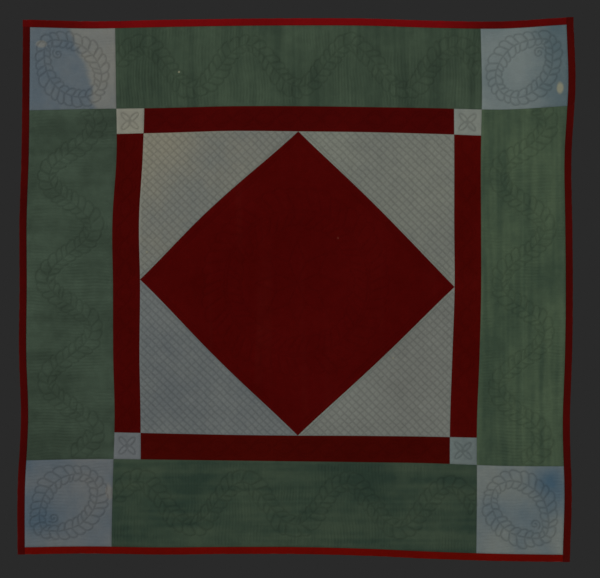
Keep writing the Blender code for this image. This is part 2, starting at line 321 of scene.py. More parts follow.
def wreath(toward):
    """A corner block's long feather wreath, whose narrow end and curl face the quilt's corner."""
    c, d = np.array(toward) / math.sqrt(2), np.array((-toward[1], toward[0])) / math.sqrt(2)
    a = np.linspace(0, 2 * math.pi, 240)
    near = np.maximum(np.cos(a), 0)
    p, q = 0.118 * np.cos(a) + 0.010 * near**6, 0.087 * np.sin(a) * (1 - 0.22 * near**2)
    spine = p[:, None] * c + q[:, None] * d
    turned = 1 if c[0] * d[1] - c[1] * d[0] > 0 else -1
    wide_side = np.maximum(np.abs(np.sin(a)), 0) ** 2
    curl_a = np.linspace(0, 2.7 * math.pi, 40)
    curl = 0.019 - 0.0019 * curl_a
    curl = curl[:, None] * (np.cos(curl_a)[:, None] * c + np.sin(curl_a)[:, None] * d)
    return (
        [spine, curl + 0.074 * c]
        + feathers(spine, 0.0265, 0.031 + 0.013 * wide_side, -turned, 0.45)
        + feathers(spine, 0.0265, 0.023 + 0.007 * wide_side, turned, 0.35)
    )


def vine(long, waves, lift):
    """A border's running feather, along the first axis."""
    run = np.linspace(-long / 2 + 0.006, long / 2 - 0.006, int(long / 0.004))
    phase = 2 * math.pi * waves * (run / long + 0.5)
    spine = np.stack([run, lift * np.sin(phase)], -1)
    bend = np.sin(phase)
    return (
        [spine]
        + feathers(spine, 0.0275, 0.040 + 0.008 * bend, 1, 0.5)
        + feathers(spine, 0.0275, 0.040 - 0.008 * bend, -1, 0.5)
    )


def hatch(corners, spacing, way, shift=0.0):
    """Straight lines across a convex outline. shift moves them by a share of the spacing."""
    corners = np.array(corners)
    d = np.array(way) / np.hypot(*way)
    n = np.array([-d[1], d[0]])
    across = corners @ n
    first = math.ceil(across.min() / spacing) - 1
    made = []
    for k in np.arange(first, int(across.max() / spacing) + 2) + shift:
        cuts = []
        for a, b in zip(corners, np.roll(corners, -1, 0)):
            fa, fb = a @ n - k * spacing, b @ n - k * spacing
            if fa * fb < 0:
                cuts.append(a + (b - a) * fa / (fa - fb))
        if len(cuts) == 2 and np.linalg.norm(cuts[0] - cuts[1]) > 0.01:
            made.append(np.array(cuts))
    return made


for name in ("left", "right"):
    place = PLACES["border_" + name]
    drawn = [p[:, ::-1] for p in vine(place.tall, 3.4, 0.080)]
    side = (-1 if name == "left" else 1, 0)
    lines += mapped("border_" + name, drawn, place.wide, place.tall, side)
for name in ("top", "bottom"):
    place = PLACES["border_" + name]
    side = (0, 1 if name == "top" else -1)
    lines += mapped("border_" + name, vine(place.wide, 3.5, 0.076), place.wide, place.tall, side)
for name in SIDES:
    block, small = "corner_block_" + name, "small_block_" + name
    toward = (-1 if "left" in name else 1, 1 if "top" in name else -1)
    place = PLACES[block]
    lines += mapped(block, wreath(toward), place.wide, place.tall, toward)
    place = PLACES[small]
    leaf = [
        ellipse((0.019 * math.cos(a), 0.019 * math.sin(a)), 0.021, 0.0085, a)
        for a in (math.pi / 4 + k * math.pi / 2 for k in range(4))
    ]
    lines += mapped(small, leaf, place.wide, place.tall)
diamond = PLACES["centre_diamond"]
apexes = [diamond(s, t) for s, t in ((0, 0), (1, 0), (1, 1), (0, 1))]
for name in TRIANGLES:
    lines += hatch(PLACES[name].corners, HATCH, apexes[3] - apexes[0])
    faint_lines += hatch(PLACES[name].corners, HATCH, apexes[1] - apexes[0])
    faintest_lines += hatch(PLACES[name].corners, HATCH, apexes[3] - apexes[0], 0.5)
outside = [MIDDLE + (p - MIDDLE) * 1.024 for p in apexes]
for a, b in zip(outside, outside[1:] + outside[:1]):
    lines.append(np.array([a + (b - a) * 0.035, a + (b - a) * 0.965]))
for name in ("top", "bottom", "left", "right"):  # each strip has a chain of crossing waves
    place = PLACES["strip_" + name]
    upright = name in ("left", "right")
    long, wide = (place.tall, place.wide) if upright else (place.wide, place.tall)
    run = np.linspace(-long / 2, long / 2, 500)
    for k in (0, 1):
        for tall in (0.032, 0.020):
            wave = tall * np.sin(2 * math.pi * (run / long * 7 + 0.5 * k))
            p = np.stack([run, wave], -1)
            lines += mapped("strip_" + name, [p[:, ::-1] if upright else p], place.wide, place.tall)

# The centre: a star in a feather wreath, and two lines inside the diamond's sides.
a = np.linspace(0, 2 * math.pi, 400)
ring = MIDDLE + 0.262 * np.stack([np.cos(a), np.sin(a)], -1)
lines += [ring, MIDDLE + (ring - MIDDLE) * 0.965]
lines += feathers(ring, 0.032, 0.080, -1, 0.45)
lines += feathers(MIDDLE + (ring - MIDDLE) * 0.965, 0.033, 0.062, 1, 0.45)
for turn in range(8):
    b, c = turn * math.pi / 4, (turn + 0.5) * math.pi / 4
    tip = np.array([math.sin(b), math.cos(b)]) * 0.150
    notch = np.array([math.sin(c), math.cos(c)]) * 0.080
    last = np.array([math.sin(c - math.pi / 4), math.cos(c - math.pi / 4)]) * 0.080
    lines += [MIDDLE + np.array([last, tip, notch]), MIDDLE + np.array([notch, 0 * notch])]
for share in (0.030, 0.055):
    lines.append(closed(np.array([MIDDLE + (p - MIDDLE) * (1 - share) for p in apexes])))


def resample(points, step):
    far = lengths_along(points)
    t = np.linspace(0, far[-1], max(int(far[-1] / step), 2))
    return np.stack([np.interp(t, far, points[:, k]) for k in (0, 1)], -1)


def by_hand(points):
    """The line, a little unsteady."""
    points = resample(points, SEWN_STEP)
    x, z = points[:, 0], points[:, 1]
    sway = np.stack([noise(x, z, SWAY_SIZE, seed) for seed in (3, 4)], -1)
    return points + SWAY * sway


GRID_X, GRID_Z = LOW.x - RIM, LOW.z - RIM
shape = (int((HIGH.x - LOW.x + 2 * RIM) / CELL) + 2, int((HIGH.z - LOW.z + 2 * RIM) / CELL) + 2)
to_line = np.full(shape, REACH, np.float32)
sewn = [
    (np.vstack([by_hand(p) for p in group]), slack)
    for group, slack in ((lines, 0.0), (faint_lines, FAINT), (faintest_lines, FAINTEST))
]
print("QUILTING", round(sum(len(p) for p, _ in sewn) * SEWN_STEP), "m")
places = np.vstack([p for p, _ in sewn])
slack = np.concatenate([np.full(len(p), much) for p, much in sewn])
ci = np.floor((places[:, 0] - GRID_X) / CELL).astype(int)
cj = np.floor((places[:, 1] - GRID_Z) / CELL).astype(int)
wide = int(REACH / CELL) + 1
for di in range(-wide, wide + 1):
    for dj in range(-wide, wide + 1):
        i, j = ci + di, cj + dj
        ok = (i >= 0) & (j >= 0) & (i < shape[0]) & (j < shape[1])
        d = np.hypot(GRID_X + i * CELL - places[:, 0], GRID_Z + j * CELL - places[:, 1]) + slack
        ok &= d < REACH
        np.minimum.at(to_line, (i[ok], j[ok]), d[ok].astype(np.float32))


def sample(field, x, z):
    """A raster's value, straight between its cells."""
    u = np.clip((x - GRID_X) / CELL, 0, shape[0] - 1.001)
    v = np.clip((z - GRID_Z) / CELL, 0, shape[1] - 1.001)
    i, j = u.astype(int), v.astype(int)
    f, g = u - i, v - j
    low = field[i, j] * (1 - f) + field[i + 1, j] * f
    high = field[i, j + 1] * (1 - f) + field[i + 1, j + 1] * f
    return low * (1 - g) + high * g


# ---------------------------------------------------------------- how the quilt hangs
def simulated_drape():
    """How far each place stands forward when the quilt, as one sheet, hangs from its sleeve with a
    little more width than the rod gives it. A grid of metres, and the grid's start and steps."""
    nx, nz = SHEET_WIDE, SHEET_TALL
    xs, zs = np.linspace(LOW.x, HIGH.x, nx), np.linspace(HIGH.z, LOW.z, nz)
    gx, gz = np.meshgrid(xs, zs, indexing="ij")
    stir = 0.0012 * noise(gx, gz, 0.23, 5) * smoothstep(-0.03, -0.3, gz)
    verts = np.stack([gx, stir, gz], -1).reshape(-1, 3)
    index = np.arange(nx * nz).reshape(nx, nz)
    faces = np.stack([index[:-1, :-1], index[1:, :-1], index[1:, 1:], index[:-1, 1:]], -1)
    mesh = bpy.data.meshes.new("drape_sheet")
    mesh.from_pydata(verts.tolist(), [], faces.reshape(-1, 4).tolist())
    ob = bpy.data.objects.new("drape_sheet", mesh)
    bpy.context.scene.collection.objects.link(ob)
    pinned = ob.vertex_groups.new(name="sleeve")
    pinned.add([int(i) for i in index[:, zs > PINNED_ABOVE].ravel()], 1.0, "REPLACE")
    cloth = ob.modifiers.new("hang", "CLOTH").settings
    cloth.quality = 10
    cloth.mass = QUILT_MASS / (nx * nz)
    cloth.tension_stiffness = cloth.compression_stiffness = 600
    cloth.shear_stiffness = 240
    cloth.bending_stiffness = 60
    cloth.tension_damping = cloth.compression_damping = 25
    cloth.bending_damping = 2
    cloth.air_damping = 10
    cloth.shrink_min = -0.0002
    cloth.vertex_group_mass = pinned.name
    scene = bpy.context.scene
    for n in range(1, HANG_FRAMES + 1):
        scene.frame_set(n)
    seen = ob.evaluated_get(bpy.context.evaluated_depsgraph_get()).to_mesh()
    co = np.zeros(len(verts) * 3, np.float32)
    seen.vertices.foreach_get("co", co)
    out = -co.reshape(nx, nz, 3)[:, :, 1].astype(float)
    bpy.data.objects.remove(ob, do_unlink=True)
    bpy.data.meshes.remove(mesh)
    scene.frame_set(1)
    return out


drape_grid = None
drape_grid = simulated_drape()
most = np.abs(drape_grid).max()
print("DRAPE", round(drape_grid.min() * 1000, 2), round(drape_grid.max() * 1000, 2), "mm")
if not np.isfinite(most) or most > FAILED:
    drape_grid = None
elif most > DRAPE_MOST:
    drape_grid = DRAPE_MOST * np.tanh(drape_grid / DRAPE_MOST)


def drape(x, z):
    """How far the hanging quilt stands forward of its flat place."""
    low = smoothstep(DRAPE_FROM, DRAPE_FULL, z)
    if drape_grid is None:
        wave = noise(x, z, (0.26, 0.9), 31) + 0.5 * noise(x, z, (0.5, 0.5), 32)
        return 0.003 * np.tanh(wave) * low
    u = (x - LOW.x) / (HIGH.x - LOW.x) * (drape_grid.shape[0] - 1)
    v = (HIGH.z - z) / (HIGH.z - LOW.z) * (drape_grid.shape[1] - 1)
    return spline(drape_grid, u, v) * low


# ---------------------------------------------------------------- the relief of the top and the back
def ripple(c, other, x, z, pitch, seed):
    """Fine puckers across c, which wander and fade in and out."""
    wander = noise(x, z, 0.055, seed) * 0.45 + noise(x, z, 0.16, seed + 1) * 0.6
    strength = np.clip(0.55 + 0.6 * noise(x, z, 0.045, seed + 2), 0, 1)
    return np.sin(2 * math.pi * (c / pitch + wander)) * strength


FOLDS = (  # old folds: the axis they lie across, where, from and to along the other axis, strength
    (0, 0.000, -0.24, 0.05, 1.0),
    (0, 0.004, -1.86, -1.56, 0.9),
    (1, -1.668, -0.45, 0.80, 1.0),
    (0, 0.811, -1.52, -0.30, 1.0),
    (1, -0.428, 0.67, 0.97, 0.7),
)


def fold_marks(x, z):
    total = 0.0
    for axis, at, low, high, strength in FOLDS:
        c, d = (x, z) if axis == 0 else (z, x)
        wander = 0.003 * noise(x, z, 0.12, 71 + axis)
        run = smoothstep(low - 0.02, low + 0.03, d) * (1 - smoothstep(high - 0.03, high + 0.02, d))
        total = total + strength * run * np.exp(-(((c - at - wander) / 0.0032) ** 2))
    return total


def top_relief(name, x, z, edge):
    """How far the top stands in front of its flat place, and how deep in a line, seam or pucker trough it
    is. The second value darkens the colour there: painted shade, with some dirt.
    """
    d = sample(to_line, x, z)
    ditch = np.exp(-((d / LINE_WIDE) ** 2))
    edge = np.minimum(edge, np.maximum(inside(x, z), 0))
    seam = np.exp(-((edge / SEAM_WIDE) ** 2))
    loft = 1 + 0.22 * noise(x, z, 0.05, 11)
    height = PUFF * loft * (1 - ditch) * (1 - seam)
    if name.startswith(("strip", "centre")):
        height = height * 0.7
    open_share = smoothstep(0.003, 0.008, d) * smoothstep(0.004, 0.014, edge)
    if "border_top" in name or "border_bottom" in name:
        fine = ripple(x, z, x, z, 0.0112, 21)
    elif name.startswith(("border", "corner")):
        fine = ripple(z, x, x, z, 0.0116, 24)
    elif name.startswith("strip"):
        fine = 0.8 * ripple(x if name[6:] in ("top", "bottom") else z, z, x, z, 0.0105, 27)
    else:
        fine = 0.5 * ripple(z, x, x, z, 0.0125, 33)
    deep = PUCKER_BORDER if name.startswith("border") else PUCKER
    height = height + deep * fine * (0.45 + 0.55 * open_share) * (1 - seam)
    # painted shade: the troughs of the borders' puckers count as a line, so the colour darkens there
    ditch = np.maximum(ditch, 0.45 * np.clip(-fine, 0, 1) ** 3 * (deep == PUCKER_BORDER))
    height = height + 0.0005 * fold_marks(x, z) * (1 - seam)
    height = height + 0.00028 * noise(x, z, 0.018, 37) * (1 - seam)
    # painted shade with some dirt: darker right at the seams between patches
    return np.maximum(height, 0.00002), np.maximum(ditch, 0.75 * np.exp(-((edge / 0.002) ** 2)))


sleeve_low, sleeve_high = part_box("sleeve_left")
SLEEVE_END_X, SLEEVE_LOW, SLEEVE_TOP = -sleeve_low.x, sleeve_low.z, sleeve_high.z
SLEEVE_IN_X = -sleeve_high.x


def back_relief(x, z):
    """How far the back stands behind its flat place, and how deep in a line it is. The second value darkens
    the colour in the lines: painted shade, with some dirt.
    """
    d = sample(to_line, x, z)
    ditch = np.exp(-((d / LINE_WIDE) ** 2))
    free = smoothstep(0.0, 0.012, inside(x, z) + 0.001)
    under_sleeve = smoothstep(SLEEVE_END_X + 0.012, SLEEVE_END_X, np.abs(x))
    under_sleeve = under_sleeve * smoothstep(SLEEVE_LOW - 0.014, SLEEVE_LOW - 0.001, z)
    under_sleeve = under_sleeve * smoothstep(SLEEVE_TOP + 0.012, SLEEVE_TOP + 0.001, z)
    height = PUFF_BACK * (1 + 0.2 * noise(x, z, 0.06, 41)) * (1 - ditch)
    height = height + 0.00022 * ripple(z, x, x, z, 0.012, 43)
    height = height + 0.00035 * fold_marks(x, z)
    return np.maximum(height * free * (1 - under_sleeve), 0), ditch


# ---------------------------------------------------------------- meshes
def mesh_piece(name, verts, groups, marks=None, uv=None, crease=55):
    """A mesh object from points and groups of faces, each an array with one face's corners in a row.
    A closed shell that faces inwards is turned over. marks are named values, one for each point."""
    volume = 0.0
    for faces in groups:
        p = verts[faces]
        for k in range(1, faces.shape[1] - 1):
            volume += (p[:, 0] * np.cross(p[:, k], p[:, k + 1])).sum()
    if volume < 0:
        groups = [faces[:, ::-1] for faces in groups]
        uv = None if uv is None else [layer[:, ::-1] for layer in uv]
    mesh = bpy.data.meshes.new(name)
    sizes = np.concatenate([np.full(len(faces), faces.shape[1]) for faces in groups])
    corners = np.concatenate([faces.ravel() for faces in groups])
    mesh.vertices.add(len(verts))
    mesh.vertices.foreach_set("co", verts.astype(np.float32).ravel())
    mesh.loops.add(len(corners))
    mesh.loops.foreach_set("vertex_index", corners.astype(np.int32))
    mesh.polygons.add(len(sizes))
    starts = np.concatenate([[0], np.cumsum(sizes)[:-1]])
    mesh.polygons.foreach_set("loop_start", starts.astype(np.int32))
    mesh.update(calc_edges=True)
    mesh.polygons.foreach_set("use_smooth", np.ones(len(sizes), bool))
    if crease:
        mesh.set_sharp_from_angle(angle=math.radians(crease))
    if uv is not None:
        layer = mesh.uv_layers.new(name="OFBake")
        flat = np.concatenate([u.reshape(-1, 2) for u in uv])
        layer.data.foreach_set("uv", flat.astype(np.float32).ravel())
    for key, values in (marks or {}).items():
        mesh.attributes.new(key, "FLOAT", "POINT").data.foreach_set("value", values.astype(np.float32))
    ob = bpy.data.objects.new(name, mesh)
    bpy.context.scene.collection.objects.link(ob)
    return ob


def grid_faces(index):
    return np.stack([index[:-1, :-1], index[1:, :-1], index[1:, 1:], index[:-1, 1:]], -1).reshape(-1, 4)


def grid_ring(index):
    return np.concatenate([index[:-1, 0], index[-1, :-1], index[:0:-1, -1], index[0, :0:-1]])


def double_sheet(front, back, wrap=False):
    """Points and faces of a closed shell between two grids of the same shape. wrap joins the second
    direction's ends, for a tube."""
    n, m = front.shape[:2]
    one = np.arange(n * m).reshape(n, m)
    if wrap:
        one = np.concatenate([one, one[:, :1]], 1)
    two = one + n * m
    faces = [grid_faces(one), grid_faces(two)[:, ::-1]]
    if wrap:
        rims = [one[0], one[-1][::-1]]
    else:
        ring = grid_ring(one)
        rims = [np.append(ring, ring[0])]
    for rim in rims:
        a, b = (rim[1:], rim[:-1]) if wrap else (rim[:-1], rim[1:])
        faces.append(np.stack([b, a, a + n * m, b + n * m], -1))
    return np.concatenate([front.reshape(-1, 3), back.reshape(-1, 3)]), faces


def joined(parts):
    """Several shells as one list of points and faces."""
    verts, groups, at = [], [], 0
    for points, faces in parts:
        verts.append(points)
        groups += [f + at for f in faces]
        at += len(points)
    return np.concatenate(verts), groups


def shell(name, xz, y_fine, y_hidden, faces, ring, subset, hidden_faces, hidden_ring, marks):
    """A closed thin shell with a fine face and a coarse hidden one, and a bake map whose hidden side
    is at a quarter of the size."""
    n = len(xz)
    after, before = np.roll(ring, -1), np.roll(ring, 1)
    run = xz[after] - xz[before]
    out = np.stack([run[:, 1], -run[:, 0]], -1)
    out = unit(out)
    xz = xz.copy()
    xz[ring] += out * MEET
    front = np.stack([xz[:, 0], y_fine, xz[:, 1]], -1)
    back = np.stack([xz[subset, 0], y_hidden[subset], xz[subset, 1]], -1)
    verts = np.concatenate([front, back])
    count = len(hidden_ring)
    k = np.arange(count)
    rim = [ring[(EVERY * (k + 1) - step) % len(ring)] for step in range(EVERY + 1)]
    rim += [n + hidden_ring, n + hidden_ring[(k + 1) % count]]
    rim = np.stack(rim, -1)
    groups = [faces, n + hidden_faces[:, ::-1], rim]
    low, size = xz.min(0), np.ptp(xz, axis=0)
    scale = 0.97 / max(size[0] * 1.25 + 0.03, size[1] + 0.02)
    flat = (xz - low + 0.006) * scale
    small = (xz[subset] - low) * scale * 0.25 + np.array([(size[0] + 0.02) * scale, 0.006])
    out_of = {int(v): o for v, o in zip(ring, out)}
    hidden_out = np.array([out_of[int(subset[v])] for v in hidden_ring])
    beyond = flat[subset[hidden_ring]] + hidden_out * 0.002 * scale
    rim_uv = np.concatenate(
        [flat[rim[:, : EVERY + 1]], beyond[:, None], beyond[(k + 1) % count][:, None]], 1
    )
    uv = [flat[faces], small[hidden_faces[:, ::-1]], rim_uv]
    marks = {key: np.concatenate([v, v[subset]]) for key, v in marks.items()}
    return mesh_piece(name, verts, groups, marks, uv)


def square_grid(place, spacing):
    """s and t of a fine grid, with everything that shell() needs about it."""
    counts = [int(math.ceil(v / spacing / EVERY)) * EVERY + 1 for v in (place.wide, place.tall)]
    s, t = np.meshgrid(np.linspace(0, 1, counts[0]), np.linspace(0, 1, counts[1]), indexing="ij")
    index = np.arange(s.size).reshape(s.shape)
    few = index[::EVERY, ::EVERY]
    own = np.arange(few.size).reshape(few.shape)
    layout = grid_faces(index), grid_ring(index), few.ravel(), grid_faces(own), grid_ring(own)
    return s.ravel(), t.ravel(), layout


def corner_grid(count):
    """Shares of a triangle's corners over a grid, with everything that shell() needs about it."""

    def layout(n):
        i, j = np.tril_indices(n + 1)
        number = lambda p, q: p * (p + 1) // 2 + q
        k = i < n
        up = np.stack([number(i, j), number(i + 1, j), number(i + 1, j + 1)], -1)[k]
        k = k & (j < i)
        down = np.stack([number(i, j), number(i + 1, j + 1), number(i, j + 1)], -1)[k]
        run = np.arange(n)
        ring = np.concatenate([number(run, 0 * run), number(0 * run + n, run), number(n - run, n - run)])
        return i, j, np.concatenate([up, down]), ring, number

    i, j, faces, ring, number = layout(count)
    p, q, few_faces, few_ring, _ = layout(count // EVERY)
    subset = number(p * EVERY, q * EVERY)
    shares = 1 - i / count, (i - j) / count, j / count
    return shares, (faces, ring, subset, few_faces, few_ring)


# ---------------------------------------------------------------- materials
def linear(colour, light=1.0):
    """Screen colour, 0 to 255, as the amount of light, over how bright the scene is."""
    c = np.array(colour, float) / 255
    c = np.where(c <= 0.04045, c / 12.92, ((c + 0.055) / 1.055) ** 2.4)
    return tuple(float(v) for v in np.minimum(c / light, 0.9)) + (1.0,)


LIGHT = 0.60  # how bright a white cloth on the wall is


def seen(*colour):
    return linear(colour, LIGHT)


def node(tree, kind, inputs=None, **settings):
    made = tree.nodes.new("ShaderNode" + kind)
    for key, value in settings.items():
        setattr(made, key, value)
    for key, value in (inputs or {}).items():
        if isinstance(value, bpy.types.NodeSocket):
            tree.links.new(value, made.inputs[key])
        else:
            made.inputs[key].default_value = value
    return made


def math_node(tree, how, a, b=0.0, c=None):
    values = {0: a, 1: b} if c is None else {0: a, 1: b, 2: c}
    return node(tree, "Math", values, operation=how).outputs[0]


def noise_node(tree, at, scale, detail=3.0, rough=0.55, stretch=None):
    if stretch:
        at = node(tree, "Mapping", {"Vector": at, "Scale": stretch}).outputs[0]
    made = node(tree, "TexNoise", {"Vector": at, "Scale": scale, "Detail": detail, "Roughness": rough})
    return made.outputs["Fac"]


def mixed(tree, factor, a, b):
    made = node(tree, "Mix", data_type="RGBA")
    for socket, value in ((made.inputs[0], factor), (made.inputs[6], a), (made.inputs[7], b)):
        if isinstance(value, bpy.types.NodeSocket):
            tree.links.new(value, socket)
        else:
            socket.default_value = value
    return made.outputs[2]


def bumped(tree, height, strength, distance, over=None):
    """The normal of a bump, laid over another where one is given."""
    inputs = {"Height": height, "Strength": strength, "Distance": distance}
    if over is not None:
        inputs["Normal"] = over
    return node(tree, "Bump", inputs).outputs[0]


def new_look(name, roughness, specular):
    material = bpy.data.materials.new(name)
    material.use_nodes = True
    tree = material.node_tree
    shader = tree.nodes["Principled BSDF"]
    shader.inputs["Roughness"].default_value = roughness
    shader.inputs["Specular IOR Level"].default_value = specular
    return material, tree, shader, node(tree, "TexCoord").outputs["Object"]


def mark(tree, name):
    return node(tree, "Attribute", attribute_name=name).outputs["Fac"]


def cloth_look(
    name, dark, light, line_shade_and_dirt, stain=(0.3, 0.28, 0.2, 1), pitch=0.0009, blotch=0.5, sheen=0.03,
    uneven=0.10, specular=0.08,
):
    """Plain-woven cloth that has faded unevenly between two colours. The marks on the mesh say where it has
    faded, where the quilting lines and seams are, and where it is stained or worn. Along the lines and seams
    the colour is darkened: painted shade, with some dirt."""
    material, tree, shader, at = new_look(name, 0.9, specular)
    patchy = noise_node(tree, at, 7.0, 4.0, 0.6)
    cloudy = noise_node(tree, at, 38.0, 5.0, 0.62)
    warp = noise_node(tree, at, 1.0, 4.0, 0.6, (1500, 1500, 55))
    weft = noise_node(tree, at, 1.0, 4.0, 0.6, (55, 1500, 1500))
    fuzz = noise_node(tree, at, 2600.0, 2.0, 0.7)
    pull = math_node(tree, "MULTIPLY_ADD", patchy, blotch * 2, -blotch)
    share = math_node(tree, "ADD", mark(tree, "fade"), pull)
    share = node(tree, "Clamp", {"Value": share}).outputs[0]
    colour = mixed(tree, share, dark, light)
    colour = mixed(tree, mark(tree, "stain"), colour, stain)
    threads = math_node(tree, "ADD", warp, weft)
    tone = math_node(tree, "MULTIPLY_ADD", threads, THREADY * 2, 1 - THREADY * 2)
    tone = math_node(tree, "MULTIPLY_ADD", cloudy, uneven * 2, math_node(tree, "SUBTRACT", tone, uneven))
    tone = math_node(tree, "MULTIPLY_ADD", fuzz, 0.10, math_node(tree, "SUBTRACT", tone, 0.05))
    # painted shade with some dirt: the colour darkens in the quilting lines, seams and pucker troughs
    tone = math_node(tree, "MULTIPLY_ADD", mark(tree, "ditch"), -line_shade_and_dirt, tone)
    tone = math_node(tree, "MULTIPLY_ADD", mark(tree, "wear"), 0.35, tone)
    colour = node(tree, "VectorMath", {0: colour, "Scale": tone}, operation="SCALE").outputs[0]
    tree.links.new(colour, shader.inputs["Base Color"])
    scale = math.pi / 10 / pitch / 2
    across = node(tree, "TexWave", {"Vector": at, "Scale": scale, "Distortion": 0.0}, bands_direction="X")
    down = node(tree, "TexWave", {"Vector": at, "Scale": scale, "Distortion": 0.0}, bands_direction="Z")
    over = math_node(tree, "SUBTRACT", across.outputs["Fac"], 0.5)
    under = math_node(tree, "SUBTRACT", down.outputs["Fac"], 0.5)
    weave = math_node(tree, "MULTIPLY", over, under)
    raised = math_node(tree, "MULTIPLY_ADD", weave, 1.6, math_node(tree, "MULTIPLY", threads, 0.35))
    raised = math_node(tree, "MULTIPLY_ADD", fuzz, 0.3, raised)
    woven = bumped(tree, raised, 0.35, 0.0003)
    crumple = noise_node(tree, at, 120.0, 4.0, 0.55)
    tree.links.new(bumped(tree, crumple, 0.5, 0.0016, woven), shader.inputs["Normal"])
    rough = math_node(tree, "MULTIPLY_ADD", cloudy, 0.14, 0.82)
    tree.links.new(rough, shader.inputs["Roughness"])
    shader.inputs["Sheen Weight"].default_value = sheen
    shader.inputs["Sheen Roughness"].default_value = 0.6
    shader.inputs["Sheen Tint"].default_value = light
    return material


def wool_look(name, colour, other):
    """Carded batting: fibres and slubs."""
    material, tree, shader, at = new_look(name, 0.95, 0.05)
    fibres = noise_node(tree, at, 300.0, 6.0, 0.75, (1, 1, 0.4))
    tree.links.new(mixed(tree, fibres, colour, other), shader.inputs["Base Color"])
    tree.links.new(bumped(tree, fibres, 0.6, 0.0008), shader.inputs["Normal"])
    return material


def wood_look(name, pale, dark, pitch=0.0032):
    """Sealed turned wood, with its grain along the rod."""
    material, tree, shader, at = new_look(name, 0.42, 0.4)
    drift = noise_node(tree, at, 6.0, 3.0, 0.5, (0.35, 9, 9))
    moved = node(tree, "VectorMath", {0: at, 1: (0.0, 0.0106, 0.0043)}, operation="ADD").outputs[0]
    bent = math_node(tree, "MULTIPLY", drift, 0.010)
    axis = node(tree, "SeparateXYZ", {0: moved})
    y = math_node(tree, "ADD", axis.outputs["Y"], bent)
    z = math_node(tree, "ADD", axis.outputs["Z"], bent)
    away = node(tree, "CombineXYZ", {"X": 0.0, "Y": y, "Z": z}).outputs[0]
    far = node(tree, "VectorMath", {0: away}, operation="LENGTH").outputs["Value"]
    rings = math_node(tree, "SINE", math_node(tree, "MULTIPLY", far, 2 * math.pi / pitch))
    rings = math_node(tree, "MULTIPLY_ADD", rings, 0.5, 0.5)
    pores = noise_node(tree, at, 1.0, 4.0, 0.7, (45, 1400, 1400))
    share = math_node(tree, "MULTIPLY_ADD", pores, 0.7, math_node(tree, "MULTIPLY", rings, 0.45))
    colour = mixed(tree, math_node(tree, "SUBTRACT", share, 0.15), pale, dark)
    tree.links.new(colour, shader.inputs["Base Color"])
    tree.links.new(bumped(tree, share, 0.35, 0.0002), shader.inputs["Normal"])
    tree.links.new(math_node(tree, "MULTIPLY_ADD", share, 0.22, 0.34), shader.inputs["Roughness"])
    shader.inputs["Coat Weight"].default_value = 0.25
    shader.inputs["Coat Roughness"].default_value = 0.25
    return material


def steel_look(name, colour, worn):
    """Satin powder coat: a fine orange peel, and paint rubbed thin in places."""
    material, tree, shader, at = new_look(name, 0.45, 0.5)
    peel = noise_node(tree, at, 1100.0, 3.0, 0.5)
    rubbed = noise_node(tree, at, 90.0, 5.0, 0.7)
    share = node(tree, "MapRange", {"Value": rubbed, "From Min": 0.60, "From Max": 0.72}).outputs[0]
    tree.links.new(mixed(tree, share, colour, worn), shader.inputs["Base Color"])
    rough = math_node(tree, "MULTIPLY_ADD", rubbed, 0.25, 0.33)
    tree.links.new(rough, shader.inputs["Roughness"])
    tree.links.new(bumped(tree, peel, 0.35, 0.00012), shader.inputs["Normal"])
    shader.inputs["Metallic"].default_value = 0.15
    return material


CREAM = seen(125, 122, 100)
RED_STAIN = seen(96, 44, 36)
# Each patch's two colours, darker and lighter, as they look on the wall.
TONES = {
    "centre_diamond": ((56, 3, 2), (64, 5, 4)),
    "strip_top": ((54, 4, 3), (61, 5, 4)),
    "strip_left": ((54, 4, 2), (62, 5, 4)),
    "strip_right": ((56, 4, 2), (65, 6, 4)),
    "strip_bottom": ((51, 4, 2), (58, 6, 3)),
    "border_top": ((43, 55, 44), (55, 68, 54)),
    "border_bottom": ((36, 50, 41), (51, 63, 50)),
    "border_left": ((44, 55, 45), (57, 70, 58)),
    "border_right": ((47, 61, 48), (62, 76, 58)),
    "triangle_top_left": ((98, 101, 96), (114, 112, 99)),
    "triangle_top_right": ((98, 101, 95), (108, 111, 102)),
    "triangle_bottom_left": ((85, 90, 91), (98, 102, 100)),
    "triangle_bottom_right": ((96, 98, 93), (106, 109, 103)),
    "small_block_top_left": ((110, 110, 101), (121, 120, 107)),
    "small_block_top_right": ((99, 105, 100), (111, 115, 107)),
    "small_block_bottom_left": ((82, 86, 88), (92, 96, 98)),
    "small_block_bottom_right": ((82, 91, 91), (94, 103, 101)),
    "corner_block_top_left": ((73, 83, 90), (101, 102, 97)),
    "corner_block_top_right": ((66, 81, 86), (98, 107, 106)),
    "corner_block_bottom_left": ((62, 77, 88), (98, 98, 95)),
    "corner_block_bottom_right": ((52, 74, 89), (97, 103, 100)),
}
SLOTS = {"centre": "red_cloth", "strip": "red_cloth", "border": "green_cloth"}


# The edge of the top left corner block's blue part: some heights, and where it is at each.
BLUE_EDGE = (-0.27, -0.242, -0.1245, -0.071, 0.0185), (-0.724, -0.729, -0.743, -0.779, -0.808)
STREAKS = {  # how strong a border's streaks are, how wide and tall, and their noise's seed
    "border_top": ((0.32, (0.016, 0.20), 58), (0.26, (0.006, 0.10), 59)),
    "border_right": ((0.32, (0.016, 0.20), 58), (0.26, (0.006, 0.10), 59)),
    "border_bottom": ((0.36, (0.20, 0.015), 58), (0.20, (0.10, 0.006), 59)),
    "border_left": ((0.25, (0.16, 0.016), 58),),
}
SPOTS = {  # a patch's small spot: where, how wide and how strong
    "border_top": ((-0.418, -0.1316), 0.0045, 0.8),
    "centre_diamond": ((0.150, -0.725), 0.0045, 0.6),
    "triangle_top_left": ((-0.5325, -0.775), 0.005, 0.5),
    "triangle_bottom_right": ((0.347, -1.154), 0.005, 0.5),
}


